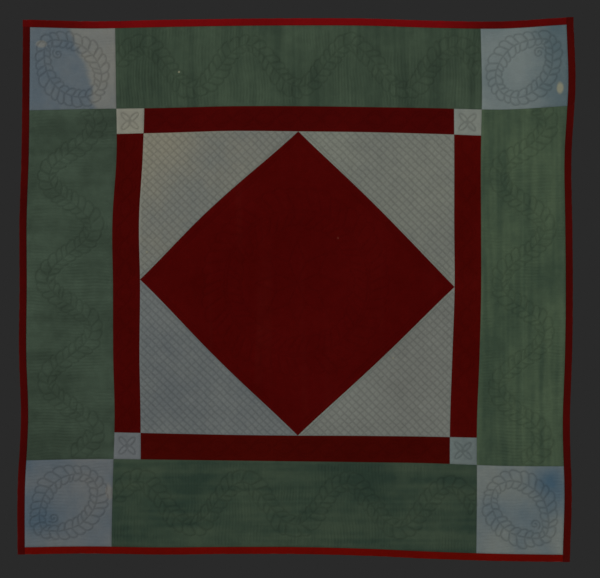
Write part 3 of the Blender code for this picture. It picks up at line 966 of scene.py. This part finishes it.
def blot(x, z, at, radius, ragged=0.0, low=0.4, high=0.8):
    """One in a spot and nothing round it. ragged makes its edge uneven."""
    return smoothstep(low, high, bump(x, z, at, radius) + ragged)


def fading(name, x, z):
    """Where a patch has faded, 0 to 1, and where it is stained."""
    rough = 0.5 * noise(x, z, 0.030, 51) + 0.5 * noise(x, z, 0.011, 52)
    fade = 0.5 + 0.30 * noise(x, z, 0.11, 53) + 0.22 * rough
    stain = 0.0 * x
    if name == "corner_block_top_left":  # a beige side and top, and a blue left
        edge = np.interp(z, *BLUE_EDGE)
        fade = 0.12 + 0.82 * smoothstep(-0.014, 0.016, x - edge + 0.012 * rough) + 0.05 * rough
        pale = blot(x, z, (-0.908, -0.031), (0.026, 0.018), 0.15 * rough, 0.35, 0.75)
        fade = np.maximum(fade, 0.85 * pale)
    elif name == "corner_block_top_right":
        fade = 0.9 - 0.78 * smoothstep(0.77, 0.95, x + 0.02 * rough) + 0.10 * noise(x, z, 0.06, 54)
        stain = 0.75 * blot(x, z, (0.9435, -0.189), (0.016, 0.028), 0.12 * rough, 0.35)
    elif name == "corner_block_bottom_left":
        fade = 0.22 + 0.42 * smoothstep(-0.95, -0.72, x - 0.25 * (z + 1.68)) + 0.14 * noise(x, z, 0.05, 55)
        pale = blot(x, z, (-0.668, -1.635), (0.022, 0.045), 0.2 * rough, 0.3)
        fade = np.maximum(fade, 0.95 * pale)
    elif name == "corner_block_bottom_right":
        blue = bump(x, z, (0.915, -1.615), (0.075, 0.090)) + 0.35 * bump(x, z, (0.80, -1.72), (0.10, 0.06))
        fade = 0.92 - 0.85 * np.clip(blue, 0, 1) + 0.16 * noise(x, z, 0.05, 56)
    elif name == "triangle_top_left":
        fade = 0.95 - 0.75 * smoothstep(0.05, 0.40, (x + 0.56) + (-0.35 - z)) + 0.10 * rough
    elif name == "border_left":
        fade = fade - 0.25 * smoothstep(-1.2, -1.55, z)
    elif name == "centre_diamond":
        run = 0.5 + 0.5 * noise(x, z, (0.018, 0.5), 57)
        left = smoothstep(0.15, -0.35, x)
        fade = fade + 0.12 * (run - 0.5)
        stain = 0.06 * smoothstep(0.62, 1.0, run) * (0.3 + 0.7 * left) * (0.6 + 0.4 * rough)
    for strength, size, seed in STREAKS.get(name, ()):
        fade = fade + strength * noise(x, z, size, seed)
    if name in SPOTS:
        at, radius, strength = SPOTS[name]
        stain = np.maximum(stain, strength * blot(x, z, at, radius))
    return np.clip(fade, 0, 1), np.clip(stain, 0, 1)


# ---------------------------------------------------------------- the top
def level(node_name):
    """The front and back of a flat node."""
    low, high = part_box(node_name)
    return low.y, high.y


def area_of(loop):
    x, z = loop[:, 0], loop[:, 1]
    return abs((x * np.roll(z, -1) - z * np.roll(x, -1)).sum()) / 2


def settle(ob, node_name, slot, material, flat, area=None):
    """What every cloth piece of the quilt needs."""
    ob.data.materials.append(material)
    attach(ob, "quilt")
    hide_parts(node_name)
    return ob


for name, place in PLACES.items():
    y_front, y_back = level(name)
    if name in TRIANGLES:
        count = int(math.ceil(max(place.lengths) / FINE / 1.22 / EVERY)) * EVERY
        (a, b, c), layout = corner_grid(count)
        xz = place(a, b, c)
        area = area_of(front_loop(name))
        heights = [2 * area / place.lengths[(k + 1) % 3] for k in range(3)]
        edge = np.minimum(np.minimum(a * heights[0], b * heights[1]), c * heights[2])
        legs = sorted(place.lengths)
        flat = (legs[0], legs[1])
    else:
        spacing = FINEST if "block" in name else WIDEST if name == "centre_diamond" else FINE
        s, t, layout = square_grid(place, spacing)
        xz = place(s, t)
        edge = np.minimum(
            np.minimum(s, 1 - s) * place.wide, np.minimum(t, 1 - t) * place.tall
        )
        flat, area = (place.wide, place.tall), None
    x, z = xz[:, 0], xz[:, 1]
    height, ditch = top_relief(name, x, z, edge)
    out = drape(x, z)
    fade, stain = fading(name, x, z)
    marks = {
        "ditch": ditch,
        "fade": fade,
        "stain": stain,
        "wear": 0.25 * fold_marks(x, z) + 0.15 * np.exp(-((edge / 0.005) ** 2)) * (ditch < 0.3),
    }
    ob = shell(name + "_patch", xz, y_front - height - out, y_back - out, *layout, marks)
    slot = SLOTS.get(name.split("_")[0], "pale_cloth")
    dark, light = (seen(*tone) for tone in TONES[name])
    if slot == "red_cloth":
        options = {"stain": RED_STAIN, "blotch": 0.35, "line_shade_and_dirt": 0.07, "specular": 0.01, "sheen": 0.0}
    elif slot == "green_cloth":
        options = {"stain": CREAM, "blotch": 0.75, "uneven": 0.17, "line_shade_and_dirt": 0.17}
    else:
        options = {"stain": CREAM, "uneven": 0.12, "line_shade_and_dirt": 0.25}
    material = cloth_look(name + "_cloth", dark, light, **options)
    settle(ob, name, slot, material, flat, area)

# ---------------------------------------------------------------- the batting and the backing
batting_place = four_sided("batting")
s, t = np.meshgrid(np.linspace(0, 1, 150), np.linspace(0, 1, 150), indexing="ij")
xz = batting_place(s, t)
x, z = xz[..., 0], xz[..., 1]
out = drape(x, z)
y_front, y_back = level("batting")
thin = 0.0004 * np.exp(-(np.minimum(np.minimum(s, 1 - s), np.minimum(t, 1 - t)) * 1.9 / 0.02) ** 2)
wave = 0.00008 * noise(x, z, 0.03, 61)
front = np.stack([x, y_front - out + wave + thin, z], -1)
back = np.stack([x, y_back - out - wave - thin, z], -1)
ob = mesh_piece("batting_wadding", *double_sheet(front, back))
wadding = wool_look("wadding", (0.72, 0.69, 0.61, 1), (0.82, 0.79, 0.71, 1))
settle(ob, "batting", "batting", wadding, (batting_place.wide, batting_place.tall))

backing = cloth_look(
    "backing_cotton", (0.34, 0.30, 0.25, 1), (0.47, 0.43, 0.37, 1), blotch=0.6, line_shade_and_dirt=0.12, pitch=0.0010
)
for side in ("left", "middle", "right"):
    name = "backing_" + side
    place = four_sided(name)
    y_front, y_back = level(name)
    s, t, layout = square_grid(place, BACK_FINE)
    xz = place(s, t)
    x, z = xz[:, 0], xz[:, 1]
    height, ditch = back_relief(x, z)
    join = np.minimum(s, 1 - s) * place.wide
    inner = np.abs(x) < 0.45
    seam = np.where(inner, np.exp(-((join / 0.004) ** 2)), 0)
    out = drape(x, z)
    grime = 0.5 + 0.3 * noise(x, z, 0.20, 63) + 0.12 * noise(x, z, 0.03, 64)
    marks = {
        # painted shade with some dirt: the backing darkens in the quilting lines and along its seams
        "ditch": np.maximum(ditch, seam),
        "fade": np.clip(grime, 0, 1),
        "stain": 0.22 * smoothstep(0.55, 0.9, noise(x, z, 0.14, 65)),
        "wear": 0.3 * fold_marks(x, z),
    }
    ob = shell(name + "_panel", xz, y_back + height * (1 - seam) - out, y_front - out, *layout, marks)
    settle(ob, name, "backing_cloth", backing, (place.wide, place.tall))

# ---------------------------------------------------------------- the binding
ACROSS = {  # each strip's map from along, and across from the fold to the inner edge
    "top": lambda p: lambda l, w: p(l, 1 - w),
    "bottom": lambda p: lambda l, w: p(l, w),
    "left": lambda p: lambda l, w: p(w, l),
    "right": lambda p: lambda l, w: p(1 - w, l),
}
FLAPS = {"top": (0,), "bottom": (), "left": (0,), "right": (0, 1)}


def out_sign(d):
    return np.where(d < 0, -1.0, 1.0)


def binding_piece(side):
    """A binding strip folded over the quilt's edge, and its flat size."""
    place = BINDINGS[side]
    at = ACROSS[side](place)
    level_strip = side in ("top", "bottom")
    long, wide = (place.wide, place.tall) if level_strip else (place.tall, place.wide)
    low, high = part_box("binding_" + side)
    y_front, y_back = low.y, high.y
    fold = (y_back - y_front) / 2
    middle = (y_back + y_front) / 2
    theta = np.linspace(math.pi / 2, -math.pi / 2, 13)
    leg = np.linspace(1, fold / wide, 12)[:-1]
    across = np.concatenate([leg, (fold - fold * np.cos(theta)) / wide, leg[::-1]])
    depth = np.concatenate([0 * leg + 1, np.sin(theta), 0 * leg - 1])  # 1 at the back, -1 in front
    stations = np.linspace(0, 1, int(long / 0.0028))
    l, w = np.meshgrid(stations, across, indexing="ij")
    d = np.broadcast_to(depth, l.shape)
    xz = at(l, w)
    x, z = xz[..., 0], xz[..., 1]
    run = l * long
    flat_share = np.clip((w * wide - fold) / (wide - fold), 0, 1)
    plump = np.sin(math.pi * flat_share) ** 0.7
    pinch = noise(run - 1.0, 0 * run + d, 0.0085, 81 + len(side))
    pinch = pinch + 0.6 * noise(run - 1.0, 0 * run - d, 0.021, 84)
    lift = plump * (0.00055 + 0.00030 * pinch) + 0.00012 * pinch * (flat_share <= 0)
    lift = np.where(d < 0, lift, 0.5 * lift)
    tuck = np.exp(-(((1 - flat_share) * (wide - fold) / 0.0012) ** 2))
    y = middle + d * (fold + lift) - out_sign(d) * 0.00025 * tuck - drape(x, z)
    fold_out = 0.00025 * noise(run - 1.0, 0 * run, 0.012, 86) * (1 - flat_share) * (w * wide < 0.006)
    outer = np.stack([x, y, z], -1)
    in_w = np.where(flat_share > 0, w, (fold - (fold - CLOTH) * np.cos(np.arcsin(np.clip(d, -1, 1)))) / wide)
    in_xz = at(l, in_w)
    in_y = middle + d * (fold - CLOTH) - drape(in_xz[..., 0], in_xz[..., 1])
    inner = np.stack([in_xz[..., 0], in_y, in_xz[..., 1]], -1)
    toward = unit(MIDDLE - xz)
    outer[..., 0] += toward[..., 0] * fold_out
    outer[..., 2] += toward[..., 1] * fold_out
    verts, groups = double_sheet(outer, inner)
    parts = [(verts, groups)]
    for end in FLAPS[side]:  # the fold's open end, turned in and closed
        into = (1 if end == 0 else -1) * CLOTH / long
        ww, dd = np.meshgrid(np.linspace(fold / wide * 0.5, 1, 16), np.linspace(-1, 1, 7), indexing="ij")
        layers = []
        for step in (0.05, 1.0):
            e = at(end + into * step + 0 * ww, ww)
            bulge = (fold - CLOTH * 0.4) * dd
            layers.append(np.stack([e[..., 0], middle + bulge - drape(e[..., 0], e[..., 1]), e[..., 1]], -1))
        parts.append(double_sheet(*layers))
    verts, groups = joined(parts)
    count = len(outer.reshape(-1, 3))
    ditch = np.zeros(len(verts))
    # painted shade with some dirt: darker where the strip's inner edge is turned under and sewn down
    ditch[:count] = (0.9 * np.exp(-(((1 - flat_share) * (wide - fold) / 0.0016) ** 2))).ravel()
    wear = np.zeros(len(verts))
    scuffed = np.clip(0.45 + 0.5 * noise(run - 1.0, 0 * run, 0.02, 87), 0, 1)
    wear[:count] = (0.6 * np.exp(-(((w * wide - 0.001) / 0.0035) ** 2)) * scuffed).ravel()
    fade = np.full(len(verts), 0.5)
    shade = 0.35 + 0.25 * noise(x, z, 0.08, 88)
    if side == "top":  # brightest along its middle
        shade = 0.25 + 0.75 * smoothstep(0.88, 0.45, np.abs(x + 0.03)) + 0.15 * noise(x, z, 0.09, 88)
    fade[:count] = np.clip(shade, 0, 1).ravel()
    marks = {"ditch": ditch, "wear": wear, "fade": fade, "stain": 0 * fade}
    ob = mesh_piece("binding_" + side + "_strip", verts, groups, marks, crease=70)
    return ob, (2 * wide + 0.004, long)


# Each binding strip's two colours. The top and bottom strips are lighter than the sides: painted sheen, as
# the light catches their weave in another direction
BINDING_TONES_AND_SHEEN = {
    "top": ((60, 5, 3), (95, 7, 9)),
    "bottom": ((78, 6, 2), (92, 7, 3)),
    "left": ((52, 4, 3), (65, 6, 4)),
    "right": ((54, 5, 3), (68, 7, 5)),
}
for side in ("top", "right", "left", "bottom"):
    ob, flat = binding_piece(side)
    dark, light = (seen(*tone) for tone in BINDING_TONES_AND_SHEEN[side])
    material = cloth_look(
        "binding_" + side + "_cloth", dark, light, 0.25, RED_STAIN, blotch=0.4, sheen=0.02, specular=0.02
    )
    settle(ob, "binding_" + side, "binding_cloth", material, flat)

# ---------------------------------------------------------------- the sleeve
rod_low, rod_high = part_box("hanging_rod")
ROD_R = (rod_high.z - rod_low.z) / 2
ROD_Y = (rod_high.y + rod_low.y) / 2


def sleeve_section():
    """The tube's middle line, in y and z, from its top in front, down the front, and back over the rod."""
    r = ROD_R + 0.0003 + CLOTH / 2
    y = sleeve_low.y + CLOTH / 2
    foot = sleeve_low.z + 0.006
    gap = y - ROD_Y
    turn = math.atan2(foot, gap) + math.acos(r / math.hypot(gap, foot))
    down = [(y, z) for z in np.linspace(r - 0.002, foot + 0.002, 22)]
    heel = [(y + 0.0006, foot + 0.0002)]
    away = np.array([ROD_Y + r * math.cos(turn), r * math.sin(turn)])
    rise = [tuple(np.array([y + 0.0012, foot]) * (1 - f) + away * f) for f in np.linspace(0.03, 1, 22)]
    over = [(ROD_Y + r * math.cos(a), r * math.sin(a)) for a in np.linspace(turn, math.pi / 2, 16)[1:]]
    top = [(ROD_Y + (y - ROD_Y) * f, r) for f in (0.3, 0.6, 0.85)]
    top.append((y - 0.0008 * math.copysign(1, y - ROD_Y), r - 0.0006))
    return np.array(down + heel + rise + over + top), len(down) + 1, len(rise)


sleeve_look = cloth_look(
    "sleeve_muslin", (0.62, 0.57, 0.47, 1), (0.76, 0.72, 0.62, 1), blotch=0.5, line_shade_and_dirt=0.2, pitch=0.0011
)
for side, start, stop in (("left", -SLEEVE_END_X, -SLEEVE_IN_X), ("right", SLEEVE_IN_X, SLEEVE_END_X)):
    line, first, many = sleeve_section()
    before, after = np.roll(line, 1, 0), np.roll(line, -1, 0)
    run = after - before
    run = unit(run)
    normal = np.stack([-run[:, 1], run[:, 0]], -1)
    centre = line.mean(0)
    normal *= np.sign(((line - centre) * normal).sum(1).mean())
    xs = np.linspace(start, stop, 300)
    share = np.zeros(len(line))
    share[first : first + many] = np.linspace(0, 1, many)
    hang = np.sin(math.pi * share) ** 1.3 * (share > 0)
    gx, gk = np.meshgrid(xs, np.arange(len(line)), indexing="ij")
    folds = noise(gx, -0.9 + 0.02 * gk * 0.05, 0.028, 91) + 0.7 * noise(gx, 0 * gx - 1.2, 0.075, 92)
    give = hang * (0.0011 + 0.00075 * folds)
    give += 0.00012 * noise(gx, -0.5 - 0.003 * gk, 0.012, 93) * (hang > 0)
    sides = []
    for sign in (1, -1):
        off = normal * (sign * CLOTH / 2)
        yz = line[None] + off[None] + normal[None] * give[..., None]
        sides.append(np.stack([gx, yz[..., 0], yz[..., 1]], -1))
    parts = [double_sheet(sides[0], sides[1], wrap=True)]
    for low, high in ((ROD_R + 0.0003, SLEEVE_TOP), (SLEEVE_LOW, SLEEVE_LOW + 0.0072)):
        tx, tz = np.meshgrid(xs, np.linspace(low, high, 6), indexing="ij")
        lump = 0.00012 * noise(tx, tz, 0.009, 94)
        near = np.stack([tx, sleeve_low.y + 0 * tx + 0.00001, tz], -1)
        far = np.stack([tx, sleeve_low.y + 0.00155 + lump, tz], -1)
        parts.append(double_sheet(far, near))
    verts, groups = joined(parts)
    depth = np.abs(verts[:, 2] - (SLEEVE_TOP - 0.003))
    depth = np.minimum(depth, np.abs(verts[:, 2] - (SLEEVE_LOW + 0.003)))
    # painted shade with some dirt: darker along the sleeve's two sewn lines
    ditch = 0.5 * np.exp(-((depth / 0.0012) ** 2))
    fade = np.clip(0.5 + 0.3 * noise(verts[:, 0], verts[:, 2] * 3 - 0.8, 0.09, 95), 0, 1)
    marks = {"ditch": ditch, "fade": fade, "stain": 0 * fade, "wear": 0 * fade}
    ob = mesh_piece("sleeve_" + side + "_cloth", verts, groups, marks, crease=70)
    ahead = np.linalg.norm(np.diff(np.vstack([line, line[:1]]), axis=0), axis=1).sum()
    settle(ob, "sleeve_" + side, "sleeve_cloth", sleeve_look, (ahead + 0.012, stop - start))

# ---------------------------------------------------------------- the rod and the hooks
woods = {
    "hanging_rod": wood_look("rod_grain", (0.60, 0.43, 0.25, 1), (0.36, 0.22, 0.11, 1)),
    "rod_cap_left": wood_look("cap_grain_left", (0.46, 0.30, 0.16, 1), (0.26, 0.15, 0.07, 1), 0.0027),
    "rod_cap_right": wood_look("cap_grain_right", (0.46, 0.30, 0.16, 1), (0.26, 0.15, 0.07, 1), 0.0029),
}
coat = steel_look("hook_coat", (0.055, 0.056, 0.060, 1), (0.16, 0.155, 0.15, 1))
for name, ob in NODES.items():
    if name in woods or name.startswith("wall_hook"):
        ob.data.materials.clear()
        ob.data.materials.append(woods.get(name, coat))

# ---------------------------------------------------------------- the stage
centre_x, front_y, centre_z = 0.0143, -0.053, -0.9072  # what the camera looks at
camera = bpy.data.objects.new("camera", bpy.data.cameras.new("camera"))
bpy.context.scene.collection.objects.link(camera)
FAR = 7.0  # the camera from the quilt's front
SEEN_WIDE = 2.1444  # of the quilt's plane, across the picture
camera.data.sensor_width = 36
camera.data.lens = 36 * FAR / SEEN_WIDE
camera.location = (centre_x, front_y - FAR, centre_z)
camera.rotation_euler = (math.pi / 2, 0, 0)
bpy.context.scene.camera = camera

floor_z = LOW.z - 0.36
bpy.ops.mesh.primitive_plane_add(size=1, location=(0, -5.3, floor_z))
floor = bpy.context.object
floor.name = "floor"
floor.scale = (20, 13.2, 1)
ground = bpy.data.materials.new("pale_floor")
ground.use_nodes = True
paint = ground.node_tree.nodes["Principled BSDF"]
paint.inputs["Base Color"].default_value = (0.62, 0.61, 0.59, 1)
paint.inputs["Roughness"].default_value = 0.8
floor.data.materials.append(ground)


def lamp(name, at, target, size, power):
    data = bpy.data.lights.new(name, "AREA")
    data.size, data.energy = size, power
    ob = bpy.data.objects.new(name, data)
    bpy.context.scene.collection.objects.link(ob)
    ob.location = at
    ob.rotation_euler = (Vector(target) - Vector(at)).to_track_quat("-Z", "Y").to_euler()


lamp("key", (-7.6, -6.3, 3.6), (0, 0, -0.9), 2.2, 535)
lamp("fill", (6.2, -7.2, 0.2), (0, 0, -0.9), 3.6, 230)
lamp("rear", (2.4, 4.6, 2.2), (0, 0, -0.9), 3.0, 170)
world = bpy.data.worlds.new("room")
bpy.context.scene.world = world
world.use_nodes = True
tree = world.node_tree
room = tree.nodes["Background"]
room.inputs["Color"].default_value = (1, 1, 1, 1)
room.inputs["Strength"].default_value = 0.125
behind = tree.nodes.new("ShaderNodeBackground")
behind.inputs["Color"].default_value = linear((42, 42, 42))
path = tree.nodes.new("ShaderNodeLightPath")
both = tree.nodes.new("ShaderNodeMixShader")
tree.links.new(path.outputs["Is Camera Ray"], both.inputs[0])
tree.links.new(room.outputs[0], both.inputs[1])
tree.links.new(behind.outputs[0], both.inputs[2])
tree.links.new(both.outputs[0], tree.nodes["World Output"].inputs["Surface"])
bpy.context.scene.view_settings.view_transform = "Standard"
